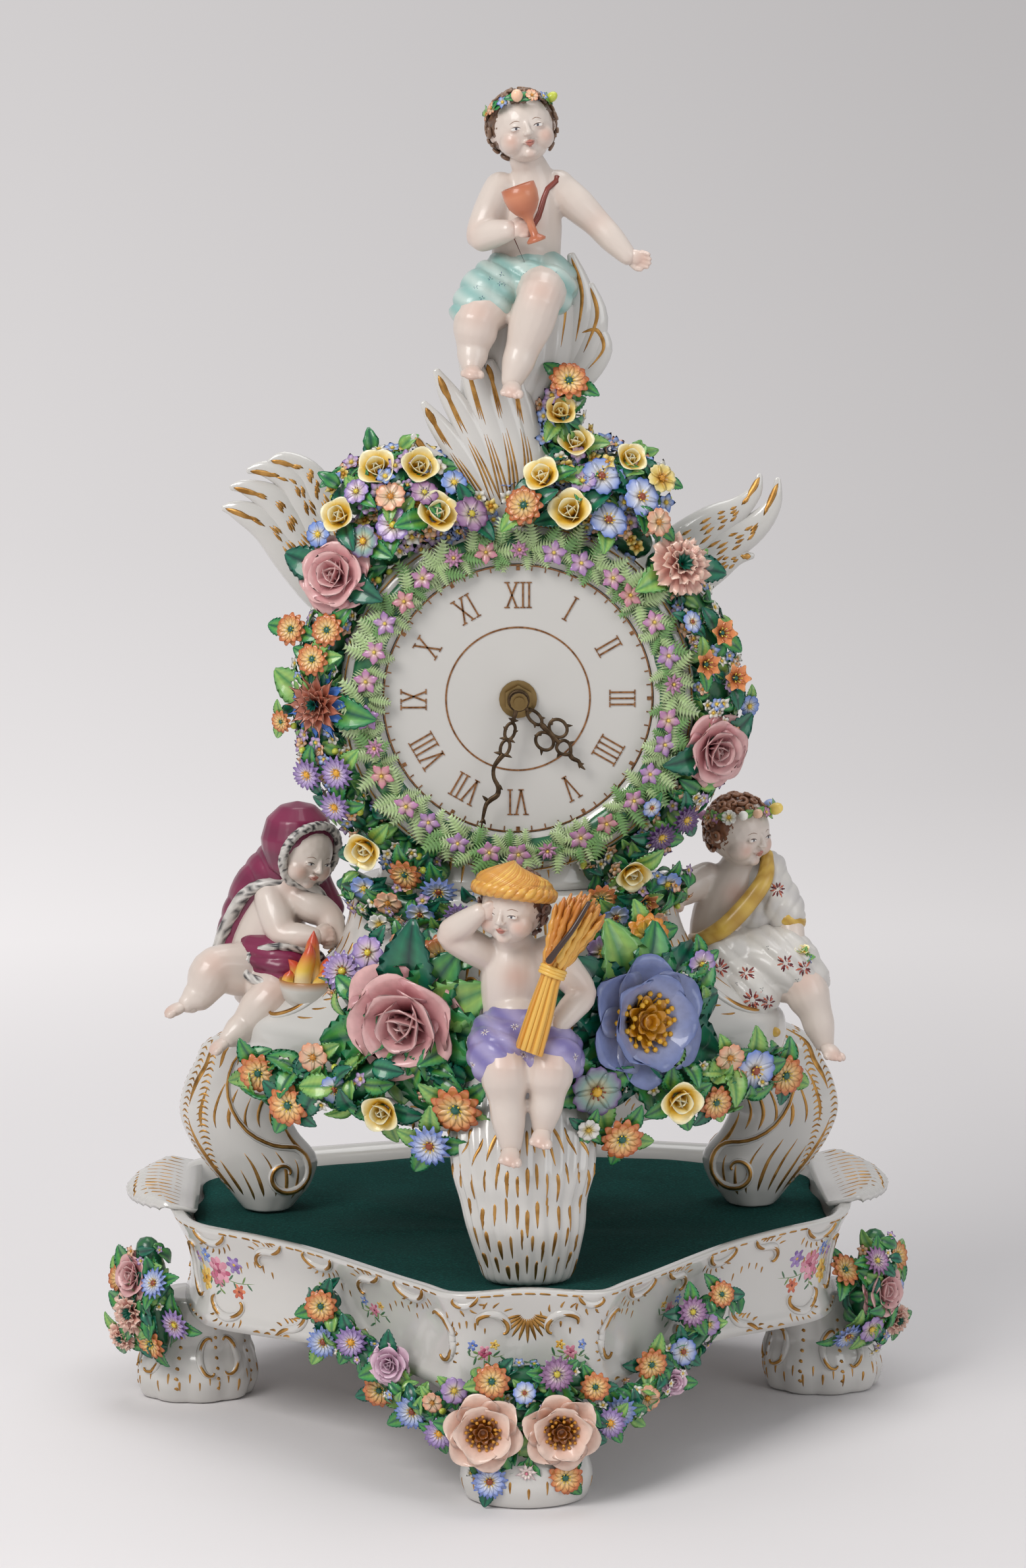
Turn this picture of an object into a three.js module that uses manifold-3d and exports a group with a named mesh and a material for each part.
// A porcelain mantel clock with four season figures, on its own footed porcelain stand.
// Millimetres, +Z up, the dial faces -Y. The origin is the middle of the stand, on the ground.
import * as THREE from 'three';
import { mergeVertices } from 'three/addons/utils/BufferGeometryUtils.js';
import Module from 'manifold-3d';

const wasm = await Module();
wasm.setup();

// Clearances
const GAP = 0.3; // between a piece and the neighbour it is set against
const SEAT = 0.3; // under a piece that stands on another

// Stand: a shield-shaped wall with a plate inside, on five feet
const STAND_FOOT_HEIGHT = 50; // ground to the lowest edge of the wall
const WALL_HEIGHT = 52; // lowest edge of the wall to its rim
const WALL_THICKNESS = 8;
const WALL_FLARE = 10; // how far the rim leans out past the foot of the wall
const FRONT_REACH = 149; // middle to the front of the wall
const BACK_REACH = 162; // middle to the back of the wall
const SIDE_REACH = 168; // middle to the left and right corners of the wall
const CARTOUCHE_HALF_WIDTH = 35; // flat nose at the front of the wall
const PLATE_THICKNESS = 7;
const RECESS_DEPTH = 8; // rim down to the felt
const FELT_THICKNESS = 3.5;
const FAN_REACH = 24; // how far a shell-shaped lip stands out past its corner
const FAN_LENGTH = 100;
const FAN_THICKNESS = 5;

// Clock body
const CLOCK_FOOT_HEIGHT = 66; // soles of the clock to the underside of its base
const BASE_HEIGHT = 108; // underside of the base to its top
const BASE_SIDE_REACH = 132; // middle to the left and right ends of the base
const BASE_FRONT_REACH = 92;
const BASE_BACK_REACH = 74;
const BASE_WALL = 9;
const DRUM_RADIUS = 85;
const DRUM_FRONT = 42; // middle plane to the front rim of the drum
const DRUM_BACK = 46; // middle plane to the back rim of the drum
const DRUM_WALL = 9;
const NECK_HEIGHT = 8; // base top to the lowest point of the drum
const NECK_HALF_WIDTH = 66;
const LIP_WIDTH = 4; // shoulder that the dial and the door close against
const CREST_HEIGHT = 100; // drum top to the seat of the upper figure
const FIGURE_HEIGHT = 104; // seat to crown of the upper figure

// Dial, hands and door
const DIAL_RADIUS = 64;
const DIAL_THICKNESS = 4;
const WREATH_OUTER_RADIUS = 80;
const WREATH_HEIGHT = 7; // how far the wreath stands out from the dial
const HOUR_HAND_LENGTH = 46;
const MINUTE_HAND_LENGTH = 63;
const HAND_THICKNESS = 1.2;
const SHOWN_HOUR = 4;
const SHOWN_MINUTE = 33;
const DOOR_RADIUS = 63.6;
const DOOR_THICKNESS = 2.6;

// Quartz movement behind the dial
const MOVEMENT_SIZE = 56;
const MOVEMENT_DEPTH = 16;
const MOVEMENT_PLATE = 2;
const MOVEMENT_WALL = 1.5;
const BUSHING_RADIUS = 4;
const HOUR_PIPE_RADIUS = 2.7;
const ARBOR_RADIUS = 1.6;
const WHEEL_MODULE = 0.58; // motion work: pitch diameter per tooth
const TRAIN_MODULE = 0.32; // going train: pitch diameter per tooth
const BACKLASH = 0.2;
const CANNON_TEETH = 10;
const MOTION_TEETH = 30;
const MOTION_PINION_TEETH = 8;
const HOUR_TEETH = 32;
const CENTRE_TEETH = 60;
const THIRD_PINION_TEETH = 8;
const THIRD_TEETH = 30;
const BATTERY_RADIUS = 7.1;
const BATTERY_LENGTH = 50;

// Heights and planes that follow from the sizes above
const rimZ = STAND_FOOT_HEIGHT + WALL_HEIGHT;
const feltTop = rimZ - RECESS_DEPTH;
const plateTop = feltTop - FELT_THICKNESS - SEAT;
const plateBottom = plateTop - PLATE_THICKNESS;
const soleZ = feltTop + SEAT;
const baseTop = CLOCK_FOOT_HEIGHT + BASE_HEIGHT;
const dialZ = baseTop + SEAT + NECK_HEIGHT + DRUM_RADIUS;
const dialBack = -DRUM_FRONT + DIAL_THICKNESS;

// Shares by which places and outlines follow the dimensions that they were measured with
const standWide = SIDE_REACH / 168;
const standDeep = FRONT_REACH / 149;
const standTall = rimZ / 102;
const baseWide = BASE_SIDE_REACH / 132;
const baseDeep = BASE_FRONT_REACH / 92;
const baseTall = baseTop / 174;
const footTall = CLOCK_FOOT_HEIGHT / 66;
const drumShare = DRUM_RADIUS / 85;
const crestTall = (DRUM_RADIUS + CREST_HEIGHT) / 185;
const figureShare = FIGURE_HEIGHT / 104;
const sized = (places, wide, deep, tall) => places.map(([x, y, z, ...radii]) => [
  x * wide, y * deep, z * tall, ...radii.map((radius) => radius * wide),
]);
const sizedOutline = (outline, wide, tall) => outline.map(([x, z]) => [x * wide, z * tall]);

// Materials
const paint = (color, roughness, metalness = 0) => (
  new THREE.MeshStandardMaterial({ color, roughness, metalness }));
const porcelain = () => paint('#f3f1ea', 0.18);
const flowerGlaze = (color) => paint(color, 0.3);
const skinGlaze = () => paint('#f6dccb', 0.3);
const brass = () => paint('#b98f45', 0.35, 0.9);
const darkBrass = () => paint('#5a4326', 0.45, 0.8);
const blackPlastic = () => paint('#1b1b1c', 0.55);
const whitePlastic = () => paint('#e8e8e4', 0.5);
const felt = () => paint('#174a44', 0.95);

// Geometry helpers
const ROUND_STEPS = 32; // facets of the drum and of all that fits in it

function indexed(coordinates, faces) {
  const geometry = new THREE.BufferGeometry();
  geometry.setAttribute('position', new THREE.Float32BufferAttribute(coordinates, 3));
  geometry.setIndex(faces);
  return geometry;
}

// A closed body from rings of points that all have the same count, with flat caps.
function skin(rings) {
  const count = rings[0].length;
  const points = rings.flat();
  const faces = [];
  for (let ring = 0; ring < rings.length - 1; ring += 1) {
    for (let i = 0; i < count; i += 1) {
      const a = ring * count + i;
      const b = ring * count + ((i + 1) % count);
      faces.push(a, b, b + count, a, b + count, a + count);
    }
  }
  const last = (rings.length - 1) * count;
  for (let i = 1; i < count - 1; i += 1) {
    faces.push(0, i + 1, i);
    faces.push(last, last + i, last + i + 1);
  }
  return indexed(points.flatMap((point) => point.toArray()), faces);
}

// A closed ring-shaped body: each loop is one cross-section, and the last loop joins the first.
function ringSkin(loops) {
  const count = loops[0].length;
  const points = loops.flat();
  const faces = [];
  for (let loop = 0; loop < loops.length; loop += 1) {
    const next = (loop + 1) % loops.length;
    for (let i = 0; i < count; i += 1) {
      const j = (i + 1) % count;
      const a = loop * count + i;
      const b = loop * count + j;
      const c = next * count + j;
      const d = next * count + i;
      faces.push(a, b, c, a, c, d);
    }
  }
  return indexed(points.flatMap((point) => point.toArray()), faces);
}

// The volume of a closed geometry, negative where its faces point in.
function signedVolume(geometry) {
  const position = geometry.getAttribute('position');
  const index = geometry.getIndex();
  const a = new THREE.Vector3();
  const b = new THREE.Vector3();
  const c = new THREE.Vector3();
  let volume = 0;
  for (let i = 0; i < index.count; i += 3) {
    a.fromBufferAttribute(position, index.getX(i));
    b.fromBufferAttribute(position, index.getX(i + 1));
    c.fromBufferAttribute(position, index.getX(i + 2));
    volume += a.dot(b.cross(c)) / 6;
  }
  return volume;
}

function toSolid(source) {
  const geometry = source.clone();
  geometry.deleteAttribute('normal');
  geometry.deleteAttribute('uv');
  const merged = mergeVertices(geometry, 1e-4);
  const triVerts = new Uint32Array(merged.getIndex().array);
  if (signedVolume(merged) < 0) {
    for (let i = 0; i < triVerts.length; i += 3) {
      const first = triVerts[i];
      triVerts[i] = triVerts[i + 1];
      triVerts[i + 1] = first;
    }
  }
  const vertProperties = new Float32Array(merged.getAttribute('position').array);
  return new wasm.Manifold(new wasm.Mesh({ numProp: 3, vertProperties, triVerts }));
}

function toGeometry(solid) {
  const mesh = solid.getMesh();
  const geometry = new THREE.BufferGeometry();
  geometry.setAttribute('position', new THREE.BufferAttribute(new Float32Array(mesh.vertProperties), 3));
  geometry.setIndex(new THREE.BufferAttribute(new Uint32Array(mesh.triVerts), 1));
  return geometry;
}

// A lump is a function that gives its geometry, grown outwards by the asked amount.
const joined = (lumps, grow = 0) => (
  lumps.map((lump) => toSolid(lump(grow))).reduce((all, one) => all.add(one)));

// The lumps as one body, kept clear of every neighbour; crumbs that a cut leaves are dropped.
function fitted(lumps, neighbours = []) {
  let body = joined(lumps);
  neighbours.forEach((other) => {
    body = body.subtract(joined(other, GAP));
  });
  const pieces = body.decompose().sort((a, b) => b.volume() - a.volume());
  return toGeometry(pieces[0]);
}

const shifted = (lumps, x, y, z) => lumps.map((lump) => (grow) => lump(grow).translate(x, y, z));
const mirrored = (stations) => stations.map(([x, ...rest]) => [-x, ...rest]);

// A tapering round limb through stations of [x, y, z, radius]; flat squeezes it along its side.
function limb(stations, sides = 6, flat = 1) {
  return (grow) => {
    const points = stations.map(([x, y, z]) => new THREE.Vector3(x, y, z));
    const rings = points.map((point, i) => {
      const before = points[Math.max(i - 1, 0)];
      const after = points[Math.min(i + 1, points.length - 1)];
      const along = after.clone().sub(before).normalize();
      const hint = Math.abs(along.y) > 0.9 ? new THREE.Vector3(1, 0, 0) : new THREE.Vector3(0, 1, 0);
      const across = hint.clone().cross(along).normalize();
      const up = along.clone().cross(across);
      const end = i === 0 ? -grow : (i === points.length - 1 ? grow : 0);
      const middle = point.clone().addScaledVector(along, end);
      const radius = stations[i][3] + grow;
      return Array.from({ length: sides }, (_, k) => {
        const angle = (k / sides) * Math.PI * 2;
        return middle.clone()
          .addScaledVector(across, Math.cos(angle) * radius)
          .addScaledVector(up, Math.sin(angle) * (radius * flat + grow * (1 - flat)));
      });
    });
    return skin(rings);
  };
}

// An ellipsoid of low detail.
const ball = ([x, y, z], [rx, ry, rz], detail = 1) => (grow) => new THREE.IcosahedronGeometry(1, detail)
  .scale(rx + grow, ry + grow, rz + grow).translate(x, y, z);

// Elliptical levels of [z, centre x, centre y, half width, half depth], joined upwards.
const stacked = (levels, sides = 12) => (grow) => skin(levels.map(([z, cx, cy, rx, ry], i) => {
  const end = i === 0 ? -grow : (i === levels.length - 1 ? grow : 0);
  return Array.from({ length: sides }, (_, k) => {
    const angle = (k / sides) * Math.PI * 2;
    return new THREE.Vector3(cx + Math.cos(angle) * (rx + grow), cy + Math.sin(angle) * (ry + grow), z + end);
  });
}));

// An upright outline of [x, z] points, given anticlockwise as seen from the front, with its depth along Y.
const upright = (outline, front, depth, bevel = 3) => (grow) => {
  const shape = new THREE.Shape(outline.map(([x, z]) => new THREE.Vector2(x, z)));
  const geometry = new THREE.ExtrudeGeometry(shape, {
    depth: depth - 2 * bevel, bevelThickness: bevel + grow, bevelSize: bevel + grow, bevelOffset: -bevel,
    bevelSegments: 1, curveSegments: 6,
  });
  return geometry.rotateX(Math.PI / 2).translate(0, front + depth - bevel, 0);
};

// A flat plate from an outline of [x, y] points between two heights.
const plate = (outline, low, high) => (grow) => {
  const shape = new THREE.Shape(outline.map(([x, y]) => new THREE.Vector2(x, y)));
  return new THREE.ExtrudeGeometry(shape, {
    depth: high - low, bevelEnabled: grow > 0, bevelThickness: grow, bevelSize: grow, bevelSegments: 1,
  }).translate(0, 0, low);
};

// A body turned about an axis that points along Y, from a closed profile of [radius, y].
const turned = (profile, sides = 28) => (grow) => {
  if (grow !== 0) throw new Error('a turned body has no grown form');
  const points = profile.map(([radius, y]) => new THREE.Vector2(radius, y));
  const geometry = new THREE.LatheGeometry([...points, points[0].clone()], sides);
  return geometry;
};

// A plain round bar along Y between two planes.
const bar = (radius, low, high, sides = 16) => (grow) => new THREE
  .CylinderGeometry(radius + grow, radius + grow, high - low + 2 * grow, sides)
  .translate(0, (low + high) / 2, 0);

// A box between two corners.
const block = (low, high) => (grow) => new THREE
  .BoxGeometry(...low.map((value, i) => high[i] - value + 2 * grow))
  .translate(...low.map((value, i) => (value + high[i]) / 2));

// An open flower as a cup that widens along its facing direction.
function bloom([x, y, z, radius], facing, sides = 6) {
  const direction = new THREE.Vector3(...facing).normalize();
  const place = (reach) => [x + direction.x * reach, y + direction.y * reach, z + direction.z * reach];
  return limb([
    [...place(-radius * 0.9), radius * 0.45],
    [...place(0), radius],
    [...place(radius * 0.35), radius * 0.62],
  ], sides);
}

// Flowers that face away from a middle point, leaning to the front.
const spray = (flowers, middle, lean) => flowers.map((flower) => {
  const [x, , z] = flower;
  const side = new THREE.Vector2(x - middle[0], z - middle[1]).normalize().multiplyScalar(1 - lean);
  return bloom(flower, [side.x, -lean, side.y]);
});

// A pointed leaf from its root to its tip.
function leaf(root, tip, width) {
  const part = (t) => root.map((value, i) => value + (tip[i] - value) * t);
  return limb([[...root, width * 0.3], [...part(0.45), width], [...tip, width * 0.15]], 6, 0.35);
}

// Plan of the stand wall: right half from the front to the back, as [x, y] of the rim
const wallPlan = [
  [0, -FRONT_REACH],
  [CARTOUCHE_HALF_WIDTH, -FRONT_REACH + 2],
  [CARTOUCHE_HALF_WIDTH + 16, -FRONT_REACH * 0.85],
  [SIDE_REACH * 0.49, -FRONT_REACH * 0.58],
  [SIDE_REACH * 0.61, -FRONT_REACH * 0.43],
  [SIDE_REACH * 0.76, -FRONT_REACH * 0.28],
  [SIDE_REACH * 0.94, -FRONT_REACH * 0.09],
  [SIDE_REACH, 20],
  [SIDE_REACH, BACK_REACH * 0.4],
  [SIDE_REACH * 0.96, BACK_REACH * 0.7],
  [SIDE_REACH * 0.55, BACK_REACH * 0.92],
  [0, BACK_REACH],
];
const leftPlan = wallPlan.slice(1, -1).reverse().map(([x, y]) => [-x, y]);
const wallCurve = new THREE.CatmullRomCurve3(
  [...wallPlan, ...leftPlan].map(([x, y]) => new THREE.Vector3(x, y, 0)),
  true,
  'centripetal',
);
const WALL_STEPS = 40;

// A closed line parallel to the rim of the wall, as [x, y] points.
function rimOffset(outwards, steps = WALL_STEPS) {
  return Array.from({ length: steps }, (_, i) => {
    const point = wallCurve.getPointAt(i / steps);
    const tangent = wallCurve.getTangentAt(i / steps);
    return [point.x + tangent.y * outwards, point.y - tangent.x * outwards];
  });
}

// The wall's lower edge hangs in shallow swags between the feet.
const swag = (t) => 5 * Math.sin(t * Math.PI * 5) ** 2;

// Wall section as [height above the lower edge, outwards from the rim line], outer face then inner face
const wallSection = [
  [0, -WALL_FLARE + 3],
  [WALL_HEIGHT * 0.2, -WALL_FLARE],
  [WALL_HEIGHT * 0.55, -WALL_FLARE + 1],
  [WALL_HEIGHT * 0.85, -3],
  [WALL_HEIGHT, 0],
  [WALL_HEIGHT, -WALL_THICKNESS * 0.7],
  [WALL_HEIGHT * 0.85, -3 - WALL_THICKNESS],
  [WALL_HEIGHT * 0.5, -WALL_FLARE - WALL_THICKNESS],
  [WALL_HEIGHT * 0.15, -WALL_FLARE - WALL_THICKNESS],
  [0, -WALL_FLARE - WALL_THICKNESS + 3],
];

function wall(grow) {
  const sectionMiddle = [WALL_HEIGHT / 2, -WALL_FLARE];
  const rings = wallSection.map(([height, outwards], k) => {
    const outer = k < wallSection.length / 2;
    const push = grow * (outer ? 1 : -1);
    const lift = height > sectionMiddle[0] ? grow : -grow;
    const line = rimOffset(outwards + push);
    return line.map(([x, y], i) => {
      const hang = swag(i / WALL_STEPS) * (1 - height / WALL_HEIGHT);
      return new THREE.Vector3(x, y, STAND_FOOT_HEIGHT + height + hang + lift);
    });
  });
  const loops = rings[0].map((_, i) => rings.map((ring) => ring[i]));
  return ringSkin(loops);
}

// Stand pieces
const plateOutline = rimOffset(-WALL_FLARE - WALL_THICKNESS - GAP - 0.6);
const plateLumps = [plate(plateOutline, plateBottom, plateTop)];
const feltOutline = rimOffset(-WALL_FLARE - 1.5).map(([x, y], i) => {
  const ruffle = 1 + 0.006 * Math.sin(i * 2.4);
  return [x * ruffle, y * ruffle];
});
const feltLumps = [plate(feltOutline, plateTop + SEAT, feltTop)];

// A moulded foot under the wall, from its sole up to the wall's lower part.
const standFoot = (x, y, radius) => [stacked([
  [0, x, y, radius * 0.9, radius * 0.7],
  [STAND_FOOT_HEIGHT * 0.2, x, y, radius, radius * 0.8],
  [STAND_FOOT_HEIGHT * 0.6, x * 0.985, y * 0.985, radius * 0.8, radius * 0.62],
  [STAND_FOOT_HEIGHT + 14, x * 0.96, y * 0.96, radius * 0.9, radius * 0.62],
])];
const frontFootLumps = standFoot(0, -FRONT_REACH + 19, 31 * standWide);
const cornerFootPlace = [SIDE_REACH - 11, BACK_REACH * 0.27];
const CORNER_FOOT_RADIUS = 30 * standWide;
const leftFootLumps = standFoot(-cornerFootPlace[0], cornerFootPlace[1], CORNER_FOOT_RADIUS);
const rightFootLumps = standFoot(...cornerFootPlace, CORNER_FOOT_RADIUS);
const BACK_FOOT_RADIUS = 20 * standWide;
const backFootPlace = [SIDE_REACH * 0.5, BACK_REACH * 0.84];

// Shell-shaped lip at a corner of the rim: ribs spread like a fan.
function fan(side) {
  const ribs = 7;
  const outline = [];
  const middleY = BACK_REACH * 0.407;
  const back = middleY + FAN_LENGTH / 2;
  outline.push([side * (SIDE_REACH - 12), back]);
  for (let i = 0; i <= ribs * 2; i += 1) {
    const t = i / (ribs * 2);
    const y = back - FAN_LENGTH * t;
    const crown = Math.sin(Math.PI * (0.12 + 0.76 * t));
    const reach = FAN_REACH * crown * (i % 2 === 0 ? 0.86 : 1);
    outline.push([side * (SIDE_REACH + reach), y]);
  }
  outline.push([side * (SIDE_REACH - 12), back - FAN_LENGTH]);
  const ordered = side > 0 ? outline.reverse() : outline;
  return [plate(ordered, rimZ - FAN_THICKNESS, rimZ + 2)];
}

// Flowers on the stand as [x, y, z, radius]
const onStand = (places) => sized(places, standWide, standDeep, standTall);
const frontFlowers = onStand([
  [-22, -155, 38, 15], [15, -155, 38, 15], [-17, -152, 61, 9], [13, -152, 64, 9], [-2, -157, 55, 5],
  [-18, -152, 10, 9], [17, -152, 11, 9], [-1, -154, 15, 5], [-41, -146, 34, 8], [38, -146, 38, 8],
]);
const leftGarlandFlowers = onStand([
  [-97, -84, 78, 9], [-95, -82, 61, 9], [-81, -98, 66, 9], [-64, -116, 60, 10], [-68, -106, 45, 9],
  [-53, -124, 40, 9],
]);
const cornerFlowers = onStand([
  [-190, 22, 70, 12], [-190, 24, 50, 12], [-180, 18, 35, 9], [-167, 12, 45, 9], [-176, 8, 66, 9],
  [-195, 32, 32, 9],
]);
const garlandBody = (side) => limb(onStand([
  [side * 38, -136, 38, 6], [side * 56, -116, 46, 7], [side * 74, -98, 58, 7], [side * 92, -79, 72, 7],
  [side * 98, -74, 82, 5],
]), 7);
const frontFlowerLumps = [
  limb(onStand([[-40, -136, 30, 8], [-18, -147, 34, 12], [18, -147, 34, 12], [40, -136, 32, 8]]), 7),
  limb(onStand([[-4, -147, 66, 7], [0, -148, 40, 10], [0, -147, 12, 7]]), 7),
  ...spray(frontFlowers, [0, 38], 0.75),
];
const garlandLumps = (side) => [
  garlandBody(side),
  ...(side < 0 ? leftGarlandFlowers : mirrored(leftGarlandFlowers)).map((flower) => (
    bloom(flower, [side * 0.7, -1, 0.1]))),
];
const cornerFlowerLumps = (side) => [
  limb(onStand([[side * 172, 22, 78, 10], [side * 174, 22, 52, 13], [side * 176, 24, 26, 10]]), 7),
  ...(side < 0 ? cornerFlowers : mirrored(cornerFlowers)).map((flower) => bloom(flower, [side, -0.8, 0.1])),
];

// Clock base: reach of the plan in eight directions at each level
// Each level as [share of the height, side, back corner, back, front corner, front], in shares of the reaches
const baseShares = [
  [0, 0.74, 0.62, 0.86, 0.61, 0.9],
  [0.17, 0.97, 0.75, 0.97, 0.68, 1],
  [0.36, 1, 0.76, 1, 0.7, 1],
  [0.46, 0.9, 0.7, 0.97, 0.64, 0.9],
  [0.68, 0.66, 0.59, 0.86, 0.55, 0.66],
  [1, 0.575, 0.515, 0.76, 0.47, 0.55],
];
const baseLevels = baseShares.map(([height, sideShare, backCorner, back, frontCorner, front]) => {
  const [end, rear, face] = [BASE_SIDE_REACH * sideShare, BASE_BACK_REACH * back, BASE_FRONT_REACH * front];
  const [behind, before] = [BASE_SIDE_REACH * backCorner, BASE_SIDE_REACH * frontCorner];
  const level = CLOCK_FOOT_HEIGHT + BASE_HEIGHT * height;
  return [level, [end, behind, rear, behind, end, before, face, before]];
});
const BASE_STEPS = 24;

// The plan of one level as a smooth closed line through its eight reaches, drawn in by the given amount.
function levelRing([z, reaches], inwards) {
  const curve = new THREE.CatmullRomCurve3(reaches.map((reach, i) => {
    const angle = (i / reaches.length) * Math.PI * 2;
    return new THREE.Vector3(Math.cos(angle) * (reach - inwards), Math.sin(angle) * (reach - inwards), z);
  }), true, 'centripetal');
  return Array.from({ length: BASE_STEPS }, (_, i) => curve.getPoint(i / BASE_STEPS));
}
const baseOuter = (grow) => skin(baseLevels.map(([z, reaches], i) => {
  const end = i === 0 ? -grow : (i === baseLevels.length - 1 ? grow : 0);
  return levelRing([z + end, reaches], -grow);
}));
const baseInner = () => skin(baseLevels.map(([z, reaches], i) => {
  const low = i === 0 ? -BASE_WALL : 0;
  const high = i === baseLevels.length - 1 ? -BASE_WALL : 0;
  return levelRing([z + low + high, reaches], BASE_WALL);
}));
const baseLumps = [baseOuter];

// Scroll feet: C-shaped outline as [x, z] above the soles
const scrollOutline = sizedOutline([
  [96, 92], [136, 93], [152, 84], [163, 62], [164, 48], [157, 30], [144, 14], [128, 0], [114, 0], [99, 12],
  [96, 25], [106, 38], [109, 50], [102, 64], [92, 74],
], baseWide, footTall);
const SCROLL_FRONT = 30;
const SCROLL_DEPTH = 34;
const scrollLumps = (side) => {
  const outline = scrollOutline.map(([x, z]) => [side * x, z]);
  return [upright(side > 0 ? outline : outline.reverse(), SCROLL_FRONT, SCROLL_DEPTH, 6)];
};

// Front foot: a fluted drop that widens upwards
const frontClockFoot = [stacked([
  [0, 2, -98, 9, 7], [11, 2, -100, 20, 12], [27, 1, -102, 31, 15], [51, 0, -100, 38, 18],
  [76, 0, -90, 36, 20], [96, 0, -80, 30, 18],
].map(([z, x, y, wide, deep]) => [z * footTall, x, y * baseDeep, wide * baseWide, deep * baseDeep]))];

// Drum around the movement
const drumOuter = bar(DRUM_RADIUS + 0.5, -DRUM_FRONT + 2, DRUM_BACK - 2, ROUND_STEPS);
const placedDrum = shifted([drumOuter], 0, 0, dialZ);
const drumProfile = [
  [DIAL_RADIUS + GAP, -DRUM_FRONT],
  [DRUM_RADIUS - 5, -DRUM_FRONT],
  [DRUM_RADIUS - 1, -DRUM_FRONT + 4],
  [DRUM_RADIUS, 0],
  [DRUM_RADIUS - 1, DRUM_BACK - 5],
  [DRUM_RADIUS - 5, DRUM_BACK],
  [DOOR_RADIUS + 0.4, DRUM_BACK],
  [DOOR_RADIUS + 0.4, DRUM_BACK - DOOR_THICKNESS - GAP],
  [DOOR_RADIUS - LIP_WIDTH, DRUM_BACK - DOOR_THICKNESS - GAP],
  [DOOR_RADIUS - LIP_WIDTH, DRUM_BACK - DOOR_THICKNESS - 4],
  [DRUM_RADIUS - DRUM_WALL, DRUM_BACK - DOOR_THICKNESS - 8],
  [DRUM_RADIUS - DRUM_WALL, dialBack + 8],
  [DIAL_RADIUS - LIP_WIDTH, dialBack + 4],
  [DIAL_RADIUS - LIP_WIDTH, dialBack + GAP],
  [DIAL_RADIUS + GAP, dialBack + GAP],
];
const neckLump = stacked([
  [baseTop + SEAT, 0, 2, NECK_HALF_WIDTH, 40],
  [baseTop + SEAT + NECK_HEIGHT + 22, 0, 2, NECK_HALF_WIDTH + 4, 36],
], 20);

function drumCase() {
  const ring = toSolid(turned(drumProfile, ROUND_STEPS)(0).translate(0, 0, dialZ));
  const roomBar = bar(DRUM_RADIUS - DRUM_WALL + 1, -DRUM_FRONT - 5, DRUM_BACK + 5, ROUND_STEPS);
  const room = joined(shifted([roomBar], 0, 0, dialZ));
  return toGeometry(toSolid(neckLump(0)).subtract(room).add(ring));
}

// Dial with its wreath
const dialDisc = () => toGeometry(
  toSolid(bar(DIAL_RADIUS, -DRUM_FRONT, dialBack, ROUND_STEPS)(0)).subtract(
    toSolid(bar(BUSHING_RADIUS + GAP, -DRUM_FRONT - 1, dialBack + 1)(0)),
  ),
);
const WREATH_BLOSSOMS = 14;
const wreathMiddle = (DIAL_RADIUS + WREATH_OUTER_RADIUS) / 2;

function wreath() {
  const half = (WREATH_OUTER_RADIUS - DIAL_RADIUS) / 2 - 0.5;
  const face = -DRUM_FRONT - GAP;
  const ring = toSolid(turned([
    [wreathMiddle - half, face],
    [wreathMiddle - half + 2, face - WREATH_HEIGHT * 0.5],
    [wreathMiddle, face - WREATH_HEIGHT * 0.7],
    [wreathMiddle + half - 2, face - WREATH_HEIGHT * 0.5],
    [wreathMiddle + half, face],
  ].reverse(), ROUND_STEPS)(0));
  const blossoms = Array.from({ length: WREATH_BLOSSOMS }, (_, i) => {
    const angle = ((i + 0.5) / WREATH_BLOSSOMS) * Math.PI * 2;
    const x = Math.cos(angle) * wreathMiddle;
    const z = Math.sin(angle) * wreathMiddle;
    const top = face - WREATH_HEIGHT;
    return limb([[x, face - 1, z, 2.5], [x, top, z, 4.6]], 6);
  });
  return toGeometry(ring.add(joined(blossoms)));
}

// Garlands on the drum, places as [x, y, z from the dial middle, radius]
const onDrum = (places) => sized(places, drumShare, DRUM_FRONT / 42, drumShare);
const sideGarland = (side) => {
  const reach = DRUM_RADIUS * 1.082;
  const stations = [138, 160, 180, 200, 222, 246].map((degrees, i) => {
    const angle = THREE.MathUtils.degToRad(side < 0 ? degrees : 180 - degrees);
    const thick = [8, 10, 11, 10, 8, 6][i] * drumShare;
    return [Math.cos(angle) * reach, -DRUM_FRONT + 12, Math.sin(angle) * reach, thick];
  });
  return limb(stations, 6);
};
const leftSideFlowers = onDrum([
  [-88, -46, 60, 17], [-107, -34, 33, 8], [-90, -48, 34, 8], [-97, -44, 21, 8], [-96, -42, -2, 17],
  [-112, -30, -11, 6], [-100, -38, -36, 8], [-86, -46, -34, 8], [-86, -42, -52, 8], [-73, -44, -71, 10],
  [-54, -46, -83, 8], [-38, -48, -91, 9],
]);
const rightSideFlowers = onDrum([
  [77, -46, 64, 16], [96, -42, 31, 8], [88, -48, 17, 8], [103, -38, 9, 8], [96, -42, -26, 17],
  [82, -48, 37, 6], [112, -30, -8, 6], [80, -44, -58, 8], [62, -46, -74, 9], [54, -46, -84, 9],
  [39, -48, -92, 8],
]);
const crownLeftFlowers = onDrum([
  [-66, -36, 109, 9], [-44, -38, 111, 8], [-38, -50, 89, 10], [-81, -36, 86, 8], [-59, -48, 82, 8],
  [-22, -50, 89, 8], [-53, -44, 98, 6],
]);
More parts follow.
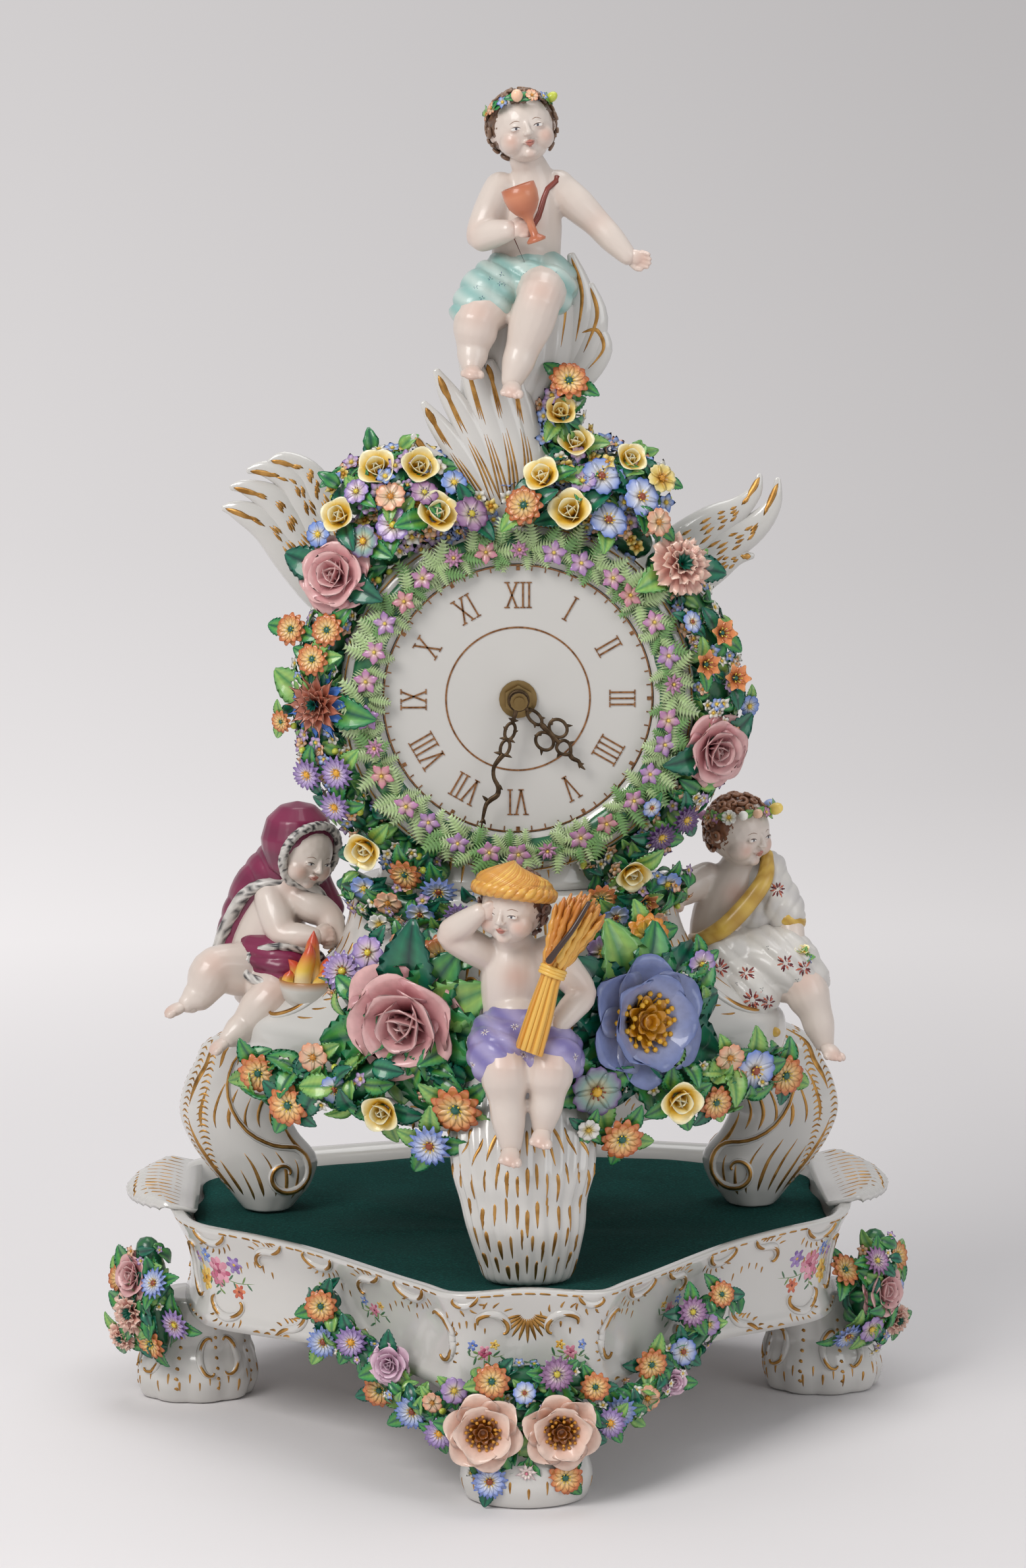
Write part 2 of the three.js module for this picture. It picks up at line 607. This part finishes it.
const crownRightFlowers = onDrum([
  [2, -52, 93, 8], [24, -50, 90, 10], [42, -48, 86, 9], [40, -40, 103, 9], [58, -42, 94, 9],
  [27, -34, 117, 8], [52, -30, 112, 7], [64, -34, 105, 6], [12, -46, 104, 7],
]);
const crownArc = (from, to, radii) => limb(radii.map((radius, i) => {
  const angle = THREE.MathUtils.degToRad(from + ((to - from) * i) / (radii.length - 1));
  const reach = DRUM_RADIUS * 1.082;
  return [Math.cos(angle) * reach, -DRUM_FRONT + 14, Math.sin(angle) * reach, radius * drumShare];
}), 6);
const atDial = (lumps) => shifted(lumps, 0, 0, dialZ);
const leftGarlandLumps = atDial([sideGarland(-1), ...spray(leftSideFlowers, [0, 0], 0.6)]);
const rightGarlandLumps = atDial([sideGarland(1), ...spray(rightSideFlowers, [0, 0], 0.6)]);
const crownLeftLumps = atDial([
  crownArc(131, 98, [8, 12, 13, 11]),
  ball([-57 * drumShare, -30, 100 * drumShare], [24, 16, 15].map((reach) => reach * drumShare)),
  ...spray(crownLeftFlowers, [-50, 70], 0.6),
]);
const crownRightLumps = atDial([
  crownArc(93, 52, [9, 13, 13, 9]),
  ball([40 * drumShare, -28, 100 * drumShare], [27, 16, 17].map((reach) => reach * drumShare)),
  ...spray(crownRightFlowers, [30, 70], 0.6),
]);

// Wings and crest as [x, z from the dial middle]
const leftWingOutline = sizedOutline([
  [-66, 40], [-76, 30], [-104, 40], [-112, 58], [-126, 70], [-139, 79], [-137, 85], [-118, 85], [-112, 94],
  [-100, 93], [-94, 100], [-82, 96], [-68, 72],
], drumShare, drumShare).reverse();
const rightWingOutline = sizedOutline([
  [66, 34], [78, 36], [95, 54], [108, 66], [122, 74], [133, 85], [130, 93], [116, 90], [104, 88], [90, 84],
  [78, 78], [64, 64],
], drumShare, drumShare);
const WING_FRONT = 6;
const WING_DEPTH = 16;
const crestSeat = DRUM_RADIUS + CREST_HEIGHT;
const crestOutline = sizedOutline([
  [-20, 80], [10, 80], [14, 116], [20, 143], [29, 160], [30, 174], [39, 185], [36, 199], [24, 198],
  [14, 185], [-20, 185], [-24, 176], [-33, 163], [-29, 152], [-39, 141], [-34, 131], [-40, 119],
  [-34, 106],
], drumShare, crestTall);
const CREST_FRONT = -34;
const CREST_DEPTH = 40;
const leftWingLumps = atDial([upright(leftWingOutline, WING_FRONT, WING_DEPTH, 3)]);
const rightWingLumps = atDial([upright(rightWingOutline, WING_FRONT, WING_DEPTH, 3)]);
const crestLumps = atDial([
  upright(crestOutline, CREST_FRONT, CREST_DEPTH, 3),
  stacked([[80, -2, -10, 24, 26], [98, -2, -12, 20, 22], [120, -6, -14, 14, 18]].map(([z, ...rest]) => [
    z * crestTall, ...rest.map((value) => value * drumShare),
  ]), 10),
]);

// Flowers on the base as [x, y, z above the soles, radius]
const onBase = (places) => sized(places, baseWide, baseDeep, baseTall);
const baseLeftFlowers = onBase([
  [-58, -84, 121, 24], [-38, -70, 149, 9], [-84, -58, 142, 10], [-66, -86, 80, 10], [-124, -46, 88, 10],
  [-110, -62, 78, 11], [-30, -104, 86, 10],
]);
const baseRightFlowers = onBase([
  [58, -84, 123, 25], [59, -64, 157, 9], [74, -84, 88, 10], [112, -60, 90, 10], [128, -44, 86, 9],
  [32, -104, 94, 11],
]);
const baseFlowerBody = (side) => limb(onBase([
  [side * 34, -88, 92, 8], [side * 56, -76, 116, 15], [side * 72, -66, 128, 12], [side * 84, -56, 140, 7],
]), 6);
const baseFlowerTail = (side) => limb(onBase([
  [side * 52, -76, 112, 10], [side * 72, -80, 92, 9], [side * 100, -60, 86, 8], [side * 122, -42, 90, 6],
]), 8);
const baseFlowerHead = (side) => limb(onBase([
  [side * 56, -74, 118, 12], [side * 48, -62, 146, 7], [side * 56, -58, 156, 5],
]), 7);
const baseLeaf = (side, root, tip, width) => (
  leaf(...onBase([root, tip].map(([x, y, z]) => [side * x, y, z])), width * baseWide));
const baseFlowerLumps = (side, flowers) => [
  baseFlowerBody(side),
  baseFlowerTail(side),
  baseFlowerHead(side),
  ...spray(flowers, [0, 90], 0.7),
  baseLeaf(side, [60, -80, 112], [92, -88, 104], 11),
  baseLeaf(side, [60, -78, 124], [96, -72, 138], 11),
  baseLeaf(side, [52, -84, 108], [40, -104, 76], 9),
];

// Figures: stations of [x, y, z, radius] from each figure's seat
const grown = (places) => sized(places, figureShare, figureShare, figureShare);
const flesh = (stations) => limb(grown(stations), 7);
const cloth = (stations) => limb(grown(stations), 8, 0.8);
const round = (middle, reaches) => ball(...grown([middle, reaches]));
const autumnSeat = [5, -12, dialZ + crestSeat];
const autumn = [
  flesh([
    [0, 0, GAP, 15], [0, 0, 8, 20], [0, -1, 20, 17.5], [1, -2, 38, 18], [3, -3, 54, 12], [1, -5, 66, 7.5],
  ]),
  round([-2, -7, 81], [15.5, 16.5, 17.5]),
  round([-2, -3, 87], [17, 16.5, 16]),
  flesh([[-13, -4, 52, 8], [-21, -10, 30, 7], [-8, -22, 36, 6], [2, -25, 41, 5.5]]),
  flesh([[15, -3, 54, 8], [33, -7, 37, 7], [47, -14, 22, 5], [57, -18, 18, 3.5]]),
  flesh([[7, -4, 8, 13], [5, -34, 4, 11], [-3, -34, -20, 8.5], [-8, -38, -36, 6], [-9, -50, -40, 4]]),
  flesh([[-8, -4, 8, 13], [-24, -32, -6, 11], [-26, -32, -18, 8], [-27, -40, -28, 5]]),
  round([-2, -14, 7], [28, 21, 12]),
];
const goblet = [limb(grown([
  [3, -33, 31, 4.5], [2, -33, 34, 2.3], [0, -33, 43, 2.5], [-3, -33, 48, 6.5], [-6, -33, 56, 8],
]), 8)];
const winterSeat = [-BASE_SIDE_REACH * 0.924, 22, CLOCK_FOOT_HEIGHT + BASE_HEIGHT * 0.54];
const winter = [
  flesh([[0, 2, -6, 17], [2, 1, 10, 19], [8, -3, 32, 16], [14, -5, 46, 9]]),
  round([19, -9, 61], [15, 15.5, 16.5]),
  round([19, -3, 65], [18, 17.5, 17]),
  flesh([[4, -8, 38, 9], [12, -17, 20, 8], [31, -21, 23, 5]]),
  flesh([[18, -8, 38, 9], [30, -13, 30, 8], [36, -21, 20, 5]]),
  flesh([[-2, -6, 2, 13], [-23, -20, 6, 10.5], [-30, -22, -4, 8], [-37, -28, -10, 5]]),
  flesh([[4, -8, 0, 13], [5, -28, -6, 10.5], [-8, -30, -20, 8], [-16, -38, -24, 5]]),
  cloth([[18, 4, 62, 16], [-2, 12, 34, 22], [-20, 8, 8, 14]]),
  cloth([[16, 2, 42, 12], [36, -2, 34, 9]]),
];
const flameBowl = [
  limb(grown([[24, -28, -18, 7], [24, -28, -12, 13], [24, -28, -3, 14]]), 10),
  limb(grown([[18, -28, -4, 7], [20, -28, 6, 4], [18, -28, 14, 1]]), 6),
  limb(grown([[28, -28, -4, 6], [28, -28, 4, 3.5], [30, -28, 10, 1]]), 6),
];
const summerSeat = [-2, -BASE_FRONT_REACH - 6, CLOCK_FOOT_HEIGHT + BASE_HEIGHT * 0.44];
const summer = [
  flesh([
    [0, 6, -8, 14], [0, 3, 4, 18], [-2, 2, 18, 16.5], [-2, 1, 34, 17], [-3, 0, 47, 11], [-4, -3, 54, 7.5],
  ]),
  round([-3, -7, 65], [15, 15.5, 16.5]),
  round([-3, -2, 69], [16.5, 16, 15]),
  flesh([[-15, 0, 42, 8], [-32, -6, 53, 7], [-16, -16, 65, 5]]),
  flesh([[15, 0, 44, 8], [29, -8, 25, 7], [13, -23, 14, 5]]),
  flesh([[-7, -4, 2, 13], [-8, -27, -4, 11], [-7, -27, -20, 8.5], [-5, -27, -42, 6], [-5, -37, -48, 4]]),
  flesh([[8, -4, 2, 13], [13, -27, -4, 11], [12, -26, -18, 8.5], [10, -25, -34, 6], [9, -35, -40, 4]]),
  round([-1, -10, 2], [25, 21, 11]),
];
const wheatSheaf = [limb(grown([
  [3, -35, 6, 7], [10, -32, 30, 4.5], [16, -29, 46, 4.5], [26, -27, 66, 11], [30, -25, 75, 7],
]), 8)];
const springSeat = [BASE_SIDE_REACH * 0.803, 20, CLOCK_FOOT_HEIGHT + BASE_HEIGHT * 0.52];
const spring = [
  flesh([[0, 2, -8, 18], [0, 0, 6, 20], [-3, 0, 24, 17], [2, -2, 42, 17], [5, -3, 53, 11], [5, -5, 61, 7.5]]),
  round([4, -8, 72], [15, 15.5, 16.5]),
  round([4, -3, 75], [16.5, 16, 15]),
  flesh([[-12, -3, 48, 8], [-27, -12, 42, 7], [-32, -20, 36, 5]]),
  flesh([[18, -4, 48, 8], [28, -12, 30, 7], [31, -22, 14, 5]]),
  cloth([[0, -8, 6, 20], [26, -20, 6, 17], [40, -22, -6, 11]]),
  flesh([[26, -22, 2, 11], [38, -28, -14, 8.5], [43, -31, -28, 6], [46, -41, -33, 4]]),
  flesh([[10, -10, 0, 14], [8, -30, -2, 11], [6, -32, -16, 8], [4, -41, -22, 4]]),
];
const seated = (lumps, seat) => shifted(lumps, ...seat);
const autumnLumps = seated(autumn, autumnSeat);
const winterLumps = seated(winter, winterSeat);
const summerLumps = seated(summer, summerSeat);
const springLumps = seated(spring, springSeat);
const brazierLumps = seated(flameBowl, winterSeat);

// Movement, in its own frame: the hand arbor is the Y axis
const half = MOVEMENT_SIZE / 2;
const plateFront = dialBack + GAP;
const plateBack = plateFront + MOVEMENT_PLATE;
const coverBack = plateFront + MOVEMENT_DEPTH;
const washerFront = -DRUM_FRONT - GAP - 1;
const nutFront = washerFront - GAP - 3;
const bushingEnd = nutFront - 1;
const hourHandBack = bushingEnd - GAP;
const minuteHandBack = hourHandBack - HAND_THICKNESS - 1.2;
const capBack = minuteHandBack - HAND_THICKNESS - GAP;
const arborEnd = capBack - 2.2;
const hourWheelLow = plateBack + 0.4;
const hourWheelHigh = hourWheelLow + 1.5;
const motionWheelLow = hourWheelHigh + 1.2;
const motionWheelHigh = motionWheelLow + 1.2;
const centreWheelLow = motionWheelHigh + 1;
const centreWheelHigh = centreWheelLow + 1.2;
const thirdWheelLow = centreWheelHigh + 0.8;
const motionReach = ((CANNON_TEETH + MOTION_TEETH) / 2) * WHEEL_MODULE + BACKLASH;
const motionAngle = THREE.MathUtils.degToRad(150);
const motionPlace = [Math.cos(motionAngle) * motionReach, Math.sin(motionAngle) * motionReach];
const thirdReach = ((CENTRE_TEETH + THIRD_PINION_TEETH) / 2) * TRAIN_MODULE + BACKLASH;
const thirdAngle = THREE.MathUtils.degToRad(20);
const thirdPlace = [Math.cos(thirdAngle) * thirdReach, Math.sin(thirdAngle) * thirdReach];
const batteryPlace = [plateBack + GAP + BATTERY_RADIUS, -half + MOVEMENT_WALL + GAP + BATTERY_RADIUS];
const bayTop = batteryPlace[1] + BATTERY_RADIUS + GAP;

// A toothed wheel: tips and roots stand half a tooth depth either side of the pitch line; turn is in teeth.
function gear(teeth, module, low, high, turn = 0) {
  const pitch = (teeth * module) / 2;
  const depth = module * 0.55;
  const shape = new THREE.Shape();
  for (let i = 0; i < teeth; i += 1) {
    [[0, depth], [0.5, -depth]].forEach(([along, out], k) => {
      const angle = ((i + along + turn) / teeth) * Math.PI * 2;
      const reach = pitch + out;
      const x = Math.cos(angle) * reach;
      const z = Math.sin(angle) * reach;
      if (i === 0 && k === 0) shape.moveTo(x, z);
      else shape.lineTo(x, z);
    });
  }
  return () => new THREE.ExtrudeGeometry(shape, { depth: high - low, bevelEnabled: false })
    .rotateX(Math.PI / 2).translate(0, high, 0);
}

const drilled = (lumps, radius, low, high) => toGeometry(
  joined(lumps).subtract(toSolid(bar(radius, low, high, 12)(0))),
);

function movementPlate() {
  const body = joined([
    block([-half, plateFront, -half], [half, plateBack, half]),
    bar(BUSHING_RADIUS, bushingEnd, plateFront + 0.5),
  ]);
  return toGeometry(body.subtract(joined([bar(HOUR_PIPE_RADIUS + GAP, bushingEnd - 1, plateBack + 1)])));
}

function movementCover() {
  const inner = half - MOVEMENT_WALL;
  const coverFront = plateBack + GAP;
  const rooms = [
    block([-inner, coverFront - 1, bayTop + MOVEMENT_WALL], [inner, coverBack - MOVEMENT_WALL, inner]),
    block([-inner, coverFront - 1, -inner], [inner, coverBack + 1, bayTop]),
    ...shifted([bar(1 + GAP, coverBack - 3, coverBack + 1, 12)], motionPlace[0], 0, motionPlace[1]),
  ];
  const body = joined([block([-half, coverFront, -half], [half, coverBack, half])]);
  return toGeometry(body.subtract(joined(rooms)));
}

// The minute wheel: centre wheel, cannon pinion and the arbor that carries the minute hand.
const minuteWheel = () => toGeometry(joined([
  gear(CENTRE_TEETH, TRAIN_MODULE, centreWheelLow, centreWheelHigh),
  gear(CANNON_TEETH, WHEEL_MODULE, motionWheelLow - 0.5, centreWheelLow + 0.4),
  bar(ARBOR_RADIUS, arborEnd, coverBack - MOVEMENT_WALL - GAP, 12),
]));
const hourWheel = () => drilled([
  gear(HOUR_TEETH, WHEEL_MODULE, hourWheelLow, hourWheelHigh),
  bar(HOUR_PIPE_RADIUS, hourHandBack - HAND_THICKNESS, hourWheelHigh, 16),
], ARBOR_RADIUS + GAP, hourHandBack - 3, hourWheelHigh + 1);
const mesh = (teeth, angle) => (angle / (Math.PI * 2)) * teeth;
const motionWheel = () => toGeometry(joined([
  gear(MOTION_TEETH, WHEEL_MODULE, motionWheelLow, motionWheelHigh,
    0.5 + mesh(MOTION_TEETH, motionAngle + Math.PI) + mesh(CANNON_TEETH, motionAngle)),
  gear(MOTION_PINION_TEETH, WHEEL_MODULE, hourWheelLow, motionWheelLow + 0.4,
    0.5 + mesh(MOTION_PINION_TEETH, motionAngle + Math.PI) + mesh(HOUR_TEETH, motionAngle)),
  bar(1, motionWheelLow, coverBack + 4, 10),
]));
const thirdWheel = () => toGeometry(joined([
  gear(THIRD_PINION_TEETH, TRAIN_MODULE, centreWheelLow - 0.2, thirdWheelLow + 0.4,
    0.5 + mesh(THIRD_PINION_TEETH, thirdAngle + Math.PI) + mesh(CENTRE_TEETH, thirdAngle)),
  gear(THIRD_TEETH, TRAIN_MODULE, thirdWheelLow, thirdWheelLow + 1),
  bar(0.7, plateBack + GAP, coverBack - MOVEMENT_WALL - GAP, 8),
]));

// A pierced, serpentine hand that points up, hung on a ring.
function hand(length, ringRadius, boreRadius, back, width) {
  const blade = new THREE.Shape();
  blade.moveTo(width * 0.35, 0);
  blade.bezierCurveTo(width * 1.4, length * 0.2, width * 0.2, length * 0.3, width, length * 0.42);
  blade.bezierCurveTo(width * 1.4, length * 0.56, width * 0.1, length * 0.6, width * 0.5, length * 0.72);
  blade.lineTo(0, length);
  blade.lineTo(-width * 0.5, length * 0.72);
  blade.bezierCurveTo(-width * 0.1, length * 0.6, -width * 1.4, length * 0.56, -width, length * 0.42);
  blade.bezierCurveTo(-width * 0.2, length * 0.3, -width * 1.4, length * 0.2, -width * 0.35, 0);
  const options = { depth: HAND_THICKNESS, bevelEnabled: false, curveSegments: 5 };
  const flatBlade = () => (
    new THREE.ExtrudeGeometry(blade, options).rotateX(Math.PI / 2).translate(0, back, 0));
  return drilled([
    flatBlade,
    bar(ringRadius, back - HAND_THICKNESS, back, 16),
  ], boreRadius, back - HAND_THICKNESS - 1, back + 1);
}

// Door behind the drum, hung on a pin at its left edge
const hingePlace = [-DOOR_RADIUS - 3.5, DRUM_BACK + 3.2];
const BARREL_RADIUS = 2.4;
const BARREL_LENGTH = 24;
const PIN_RADIUS = 0.9;
const upBar = (radius, low, high, sides = 10) => (grow) => new THREE
  .CylinderGeometry(radius + grow, radius + grow, high - low + 2 * grow, sides)
  .rotateX(Math.PI / 2).translate(hingePlace[0], hingePlace[1], (low + high) / 2);

const KNUCKLE = BARREL_LENGTH / 6; // half the middle third of the barrel, which the door carries
const DOOR_KNOB_X = DOOR_RADIUS - 10;
const pinHole = () => joined([upBar(PIN_RADIUS + GAP, -BARREL_LENGTH, BARREL_LENGTH)]);

function backDoor() {
  const [hingeX] = hingePlace;
  const strapEnd = -DOOR_RADIUS + 14;
  const half = KNUCKLE - GAP;
  const disc = joined([
    bar(DOOR_RADIUS, DRUM_BACK - DOOR_THICKNESS, DRUM_BACK, ROUND_STEPS),
    block([hingeX, DRUM_BACK + 0.4, -half], [strapEnd, DRUM_BACK + 2, half]),
    block([-DOOR_RADIUS + 6, DRUM_BACK - 1, -half], [strapEnd, DRUM_BACK + 2, half]),
    upBar(BARREL_RADIUS, -half, half),
  ]);
  return toGeometry(disc.subtract(pinHole()));
}

function doorHinge() {
  const [hingeX] = hingePlace;
  const end = BARREL_LENGTH / 2;
  const [front, back] = [DRUM_BACK + GAP, DRUM_BACK + 1.6];
  const leafPlate = joined([
    block([hingeX - 10, front, -end], [hingeX - BARREL_RADIUS + 0.6, back, end]),
    block([hingeX - 4, front, -end], [hingeX + 0.5, back, -KNUCKLE]),
    block([hingeX - 4, front, KNUCKLE], [hingeX + 0.5, back, end]),
    upBar(BARREL_RADIUS, -end, -KNUCKLE),
    upBar(BARREL_RADIUS, KNUCKLE, end),
  ]);
  return toGeometry(leafPlate.subtract(pinHole()));
}

// Small pieces of the dial and the movement
const washer = () => drilled(
  [bar(9, washerFront, -DRUM_FRONT - GAP, 20)],
  BUSHING_RADIUS + GAP,
  washerFront - 1,
  0,
);
const collarNut = () => drilled(
  [bar(7, nutFront, washerFront - GAP, 6)],
  BUSHING_RADIUS + GAP,
  nutFront - 1,
  0,
);
const capNut = () => drilled([
  bar(4.2, capBack - 1.4, capBack, 12),
  bar(2.6, capBack - 3.4, capBack - 1.2, 12),
], ARBOR_RADIUS + GAP, arborEnd - GAP, capBack + 1);
const boardLumps = [
  block([-half + 3, plateBack + GAP, 17.5], [half - 3, plateBack + 1.2, half - 3]),
];
const coil = () => new THREE.CylinderGeometry(3.2, 3.2, 22, 14).rotateZ(Math.PI / 2)
  .translate(-12, plateBack + 1.2 + GAP + 3.2, half - 6.2);
const cell = () => new THREE.CylinderGeometry(BATTERY_RADIUS, BATTERY_RADIUS, BATTERY_LENGTH, 16)
  .rotateZ(Math.PI / 2);
const doorKnob = limb([
  [DOOR_KNOB_X, DRUM_BACK + GAP, 0, 2.4], [DOOR_KNOB_X, DRUM_BACK + 3, 0, 1.8],
  [DOOR_KNOB_X, DRUM_BACK + 6, 0, 4], [DOOR_KNOB_X, DRUM_BACK + 9, 0, 2.6],
], 12);

// Assembly
const named = (name, geometry, material) => {
  const piece = new THREE.Mesh(geometry, material);
  piece.name = name;
  return piece;
};

const stand = new THREE.Group();
const standWall = [wall];
const underRim = [standWall, plateLumps];
stand.add(
  named('stand_wall', fitted(standWall), porcelain()),
  named('stand_plate', fitted(plateLumps), porcelain()),
  named('felt_pad', fitted(feltLumps, [standWall]), felt()),
  named('stand_front_foot', fitted(frontFootLumps, underRim), porcelain()),
  named('stand_left_foot', fitted(leftFootLumps, underRim), porcelain()),
  named('stand_right_foot', fitted(rightFootLumps, underRim), porcelain()),
  named('stand_left_fan', fitted(fan(-1), [standWall]), porcelain()),
  named('stand_right_fan', fitted(fan(1), [standWall]), porcelain()),
  named('stand_front_flowers', fitted(frontFlowerLumps, [standWall, frontFootLumps]), flowerGlaze('#e8b9a0')),
);
[-1, 1].forEach((side) => {
  const word = side < 0 ? 'left' : 'right';
  const backFoot = standFoot(side * backFootPlace[0], backFootPlace[1], BACK_FOOT_RADIUS);
  const footLumps = side < 0 ? leftFootLumps : rightFootLumps;
  const corner = fitted(cornerFlowerLumps(side), [standWall, footLumps, fan(side)]);
  const garland = fitted(garlandLumps(side), [standWall, frontFlowerLumps, frontFootLumps]);
  stand.add(
    named(`stand_back_${word}_foot`, fitted(backFoot, underRim), porcelain()),
    named(`stand_${word}_flowers`, corner, flowerGlaze('#e79ab0')),
    named(`stand_${word}_garland`, garland, flowerGlaze('#9b8fd0')),
  );
});

const clock = new THREE.Group();
clock.position.z = soleZ;
const base = toGeometry(joined(baseLumps).subtract(toSolid(baseInner())));
clock.add(named('base_body', base, porcelain()));
[-1, 1].forEach((side) => {
  const word = side < 0 ? 'left' : 'right';
  const [flowers, sitter, garland, colour] = side < 0
    ? [baseLeftFlowers, winterLumps, leftGarlandLumps, '#e88aa4']
    : [baseRightFlowers, springLumps, rightGarlandLumps, '#6f9bd6'];
  const around = [baseLumps, frontClockFoot, summerLumps, sitter, scrollLumps(side), garland];
  clock.add(
    named(`${word}_scroll_foot`, fitted(scrollLumps(side), [baseLumps]), porcelain()),
    named(`base_${word}_flowers`, fitted(baseFlowerLumps(side, flowers), around), flowerGlaze(colour)),
  );
});
const wreathRoom = bar(WREATH_OUTER_RADIUS, -DRUM_FRONT - WREATH_HEIGHT - 1.4, -DRUM_FRONT, ROUND_STEPS);
const drumAround = [placedDrum, [neckLump], atDial([wreathRoom])];
const leftAround = [...drumAround, baseLumps, winterLumps];
const rightAround = [...drumAround, baseLumps, springLumps];
const crownAround = [...drumAround, crestLumps];
const figureAround = [baseLumps, placedDrum];
const orange = '#d98a5b';
const yellow = '#f0cf5a';
clock.add(
  named('front_foot', fitted(frontClockFoot, [baseLumps]), porcelain()),
  named('drum_case', drumCase(), porcelain()),
  named('left_garland', fitted(leftGarlandLumps, leftAround), flowerGlaze(orange)),
  named('right_garland', fitted(rightGarlandLumps, rightAround), flowerGlaze(orange)),
  named('crest', fitted(crestLumps, [placedDrum]), porcelain()),
  named('crown_left', fitted(crownLeftLumps, [...crownAround, leftGarlandLumps]), flowerGlaze(yellow)),
  named('crown_right', fitted(crownRightLumps, [...crownAround, rightGarlandLumps]), flowerGlaze(yellow)),
  named('left_wing', fitted(leftWingLumps, [placedDrum, leftGarlandLumps, crownLeftLumps]), porcelain()),
  named('right_wing', fitted(rightWingLumps, [placedDrum, rightGarlandLumps, crownRightLumps]), porcelain()),
  named('autumn_figure', fitted(autumnLumps, [crestLumps]), skinGlaze()),
  named('autumn_goblet', fitted(seated(goblet, autumnSeat), [autumnLumps]), flowerGlaze('#c9553b')),
  named('winter_figure', fitted(winterLumps, [...figureAround, scrollLumps(-1)]), flowerGlaze('#8e1f35')),
  named('winter_brazier', fitted(brazierLumps, [baseLumps, winterLumps]), flowerGlaze('#e9a13b')),
  named('summer_figure', fitted(summerLumps, [baseLumps, frontClockFoot]), skinGlaze()),
  named('summer_sheaf', fitted(seated(wheatSheaf, summerSeat), [summerLumps]), flowerGlaze('#d9a63c')),
  named('spring_figure', fitted(springLumps, [...figureAround, scrollLumps(1)]), skinGlaze()),
);

const dialGroup = new THREE.Group();
dialGroup.position.z = dialZ;
clock.add(dialGroup);
const pinLump = upBar(PIN_RADIUS, -BARREL_LENGTH / 2 - 1, BARREL_LENGTH / 2 + 1);
dialGroup.add(
  named('dial', dialDisc(), porcelain()),
  named('dial_wreath', wreath(), flowerGlaze('#a9c46c')),
  named('dial_washer', washer(), brass()),
  named('dial_nut', collarNut(), brass()),
  named('movement_plate', movementPlate(), blackPlastic()),
  named('movement_cover', movementCover(), blackPlastic()),
  named('circuit_board', fitted(boardLumps), paint('#2c6a3c', 0.6)),
  named('coil', fitted([coil]), paint('#a5562a', 0.4, 0.5)),
  named('back_door', backDoor(), brass()),
  named('door_hinge', doorHinge(), brass()),
  named('hinge_pin', fitted([pinLump]), darkBrass()),
  named('door_knob', fitted([doorKnob]), brass()),
);

// The coil stands on the circuit board, and the rotor turns between the poles beside it
const rotorLumps = [
  bar(3, plateBack + 3, plateBack + 6, 12),
  bar(0.7, plateBack + 1.2 + GAP, coverBack - 2, 8),
];
const rotor = named('rotor', fitted(rotorLumps), paint('#50545c', 0.4, 0.6));
rotor.position.set(14, 0, 20.5);
const motion = named('motion_wheel', motionWheel(), whitePlastic());
motion.position.set(motionPlace[0], 0, motionPlace[1]);
const knobBar = bar(5, coverBack + 1, coverBack + 4.5, 14);
const setKnob = named('set_knob', drilled([knobBar], 1 + GAP, coverBack, coverBack + 6), blackPlastic());
setKnob.position.copy(motion.position);
const third = named('third_wheel', thirdWheel(), whitePlastic());
third.position.set(thirdPlace[0], 0, thirdPlace[1]);
const battery = named('battery', fitted([cell]), paint('#2f3238', 0.35, 0.5));
battery.position.set(0, batteryPlace[0], batteryPlace[1]);
const clockwise = (turns) => turns * Math.PI * 2;
const hourBlade = hand(HOUR_HAND_LENGTH, 5, HOUR_PIPE_RADIUS + GAP, hourHandBack, 4.5);
const hourHand = named('hour_hand', hourBlade, darkBrass());
hourHand.rotation.y = clockwise((SHOWN_HOUR + SHOWN_MINUTE / 60) / 12);
const minuteBlade = hand(MINUTE_HAND_LENGTH, 4, ARBOR_RADIUS + GAP, minuteHandBack, 4);
const minuteHand = named('minute_hand', minuteBlade, darkBrass());
minuteHand.rotation.y = clockwise(SHOWN_MINUTE / 60);
dialGroup.add(
  rotor,
  motion,
  setKnob,
  third,
  battery,
  named('minute_wheel', minuteWheel(), whitePlastic()),
  named('hour_wheel', hourWheel(), whitePlastic()),
  hourHand,
  minuteHand,
  named('cap_nut', capNut(), brass()),
);

const group = new THREE.Group();
group.add(stand, clock);
export default group;
